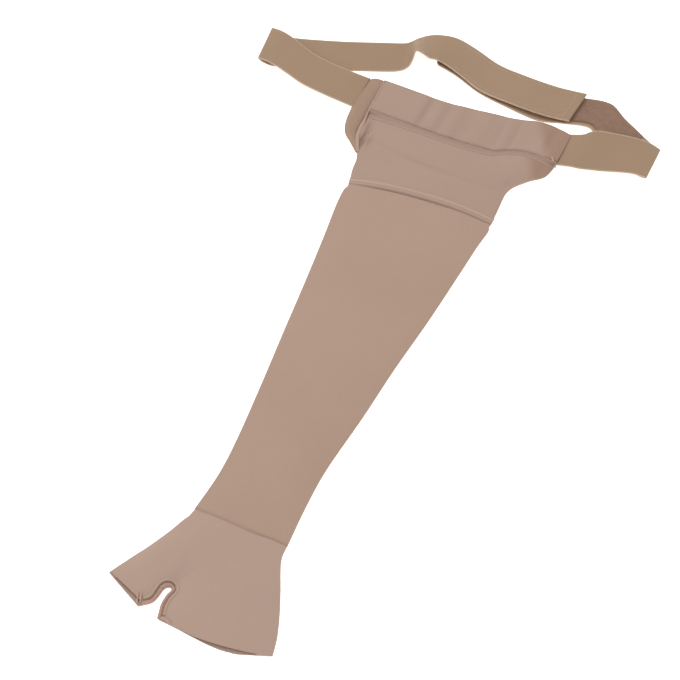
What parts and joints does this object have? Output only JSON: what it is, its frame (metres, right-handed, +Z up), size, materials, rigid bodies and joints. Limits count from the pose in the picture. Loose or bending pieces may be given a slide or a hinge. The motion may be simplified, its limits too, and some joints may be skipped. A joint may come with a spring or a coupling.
{
  "type": "arm compression sleeve",
  "caption": "Arm compression sleeve with fingerless hand gauntlet, thumb opening, shoulder cap and hook-and-loop chest strap, lying flat on a surface.",
  "frame": {"origin": "centre of the bounding box's base, on the surface it lies on", "axes": "+Y up the arm from hand to shoulder, +X to the right with the thumb opening on the left, +Z up from the surface"},
  "size_m": [0.4776, 0.7946, 0.0282],
  "materials": {
    "arm_sleeve": "smooth fine knit, matt, warm beige",
    "wrist_seam": "flat sewn seam, darker thread",
    "hand_gauntlet": "smooth fine knit, matt, a little pinker",
    "thumb_web_binding": "bound and stitched knit edge",
    "cap_hem": "double ridged flat seam, knit",
    "shoulder_cap": "smooth fine knit, matt, pink beige",
    "side_panel": "smooth knit, matt, darker pink beige",
    "top_band": "soft elastic knit band, matt, light pink beige",
    "band_seam": "flat sewn seam, darker",
    "strap_hook_end": "woven elastic, tan, fine cross ribs",
    "strap_loop_end": "woven elastic, tan, fine cross ribs",
    "hook_patch": "moulded hook tape, matt",
    "loop_patch": "brushed loop pile, pink brown"
  },
  "bodies": {
    "root": {"arm_sleeve": "arm_sleeve", "wrist_seam": "wrist_seam", "hand_gauntlet": "hand_gauntlet", "thumb_web_binding": "thumb_web_binding", "cap_hem": "cap_hem", "shoulder_cap": "shoulder_cap", "side_panel": "side_panel", "top_band": "top_band", "band_seam": "band_seam", "strap_hook_end": "strap_hook_end", "strap_loop_end": "strap_loop_end", "hook_patch": "hook_patch", "loop_patch": "loop_patch"}
  },
  "joints": []
}
